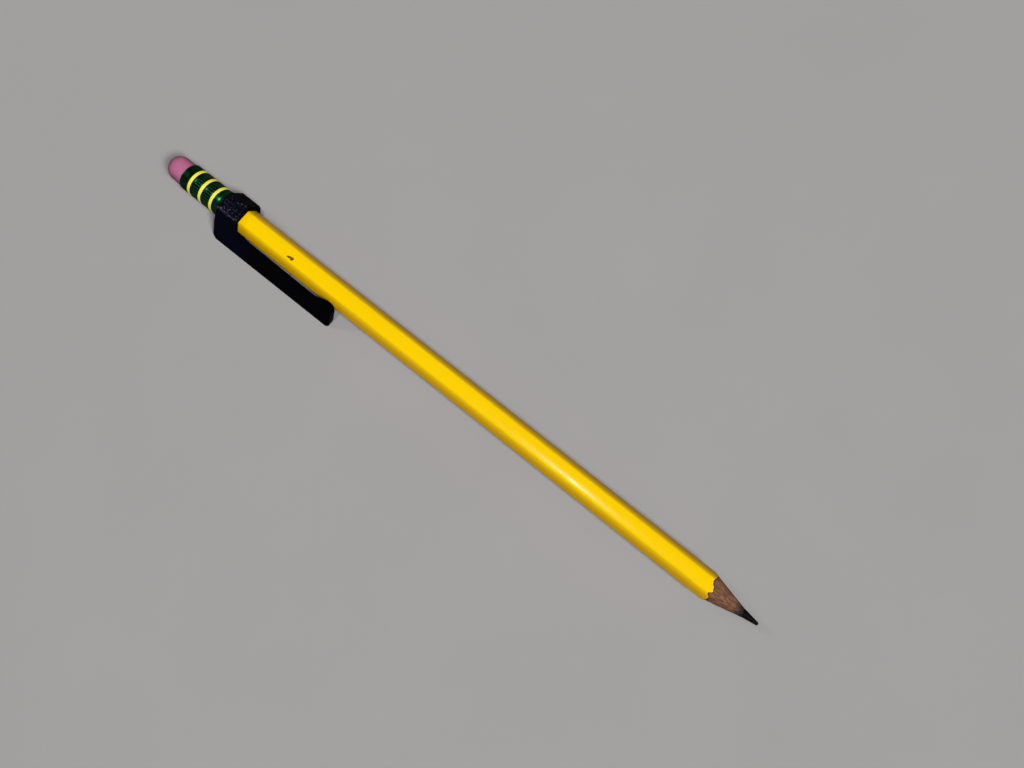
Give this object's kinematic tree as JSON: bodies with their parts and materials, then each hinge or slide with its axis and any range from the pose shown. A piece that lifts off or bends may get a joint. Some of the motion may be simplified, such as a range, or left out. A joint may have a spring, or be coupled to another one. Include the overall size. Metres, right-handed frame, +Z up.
{
  "type": "pencil with pocket clip",
  "caption": "Sharpened hexagonal wood pencil with ferrule and eraser, wearing a black printed pocket clip: its collar slides on the barrel and its arm springs to grip cloth",
  "frame": {"origin": "centre of the collar's flat underside, the face that the clip lies on, straight below the pencil's axis", "axes": "+X along the pencil towards the tip, +Z up from the underside, the clip's arm on the -Y side"},
  "size_m": [0.1926, 0.0139, 0.0093],
  "materials": {
    "graphite": "smooth dark graphite with a dull sheen",
    "cedar": "bare reddish-brown wood, shaved by a sharpener",
    "yellow_lacquer": "glossy yellow lacquer",
    "green_ferrule": "dark green lacquered aluminium",
    "band_paint": "lemon yellow paint ring",
    "pink_rubber": "matte pink eraser rubber",
    "clip_plastic": "black printed plastic, satin sides and a grainy top"
  },
  "bodies": {
    "pencil": {"graphite_core": "graphite", "wood_slat_upper": "cedar", "wood_slat_lower": "cedar", "lacquer_coat": "yellow_lacquer", "ferrule": "green_ferrule", "ferrule_band_rear": "band_paint", "ferrule_band_middle": "band_paint", "ferrule_band_front": "band_paint", "eraser": "pink_rubber"},
    "clip_collar": {"clip_collar": "clip_plastic"},
    "clip_arm": {"clip_arm": "clip_plastic"}
  },
  "joints": [
    {"name": "clip_slide", "type": "slide", "parent": "pencil", "child": "clip_collar", "axis": [1, 0, 0], "range_m": [0, 0.115]},
    {"name": "arm_flex", "type": "hinge", "parent": "clip_collar", "child": "clip_arm", "pos_m": [0.00341, -0.00854, 0], "axis": [0, 0, -1], "range_deg": [0, 5], "stiffness_Nm_per_rad": 3.1}
  ]
}
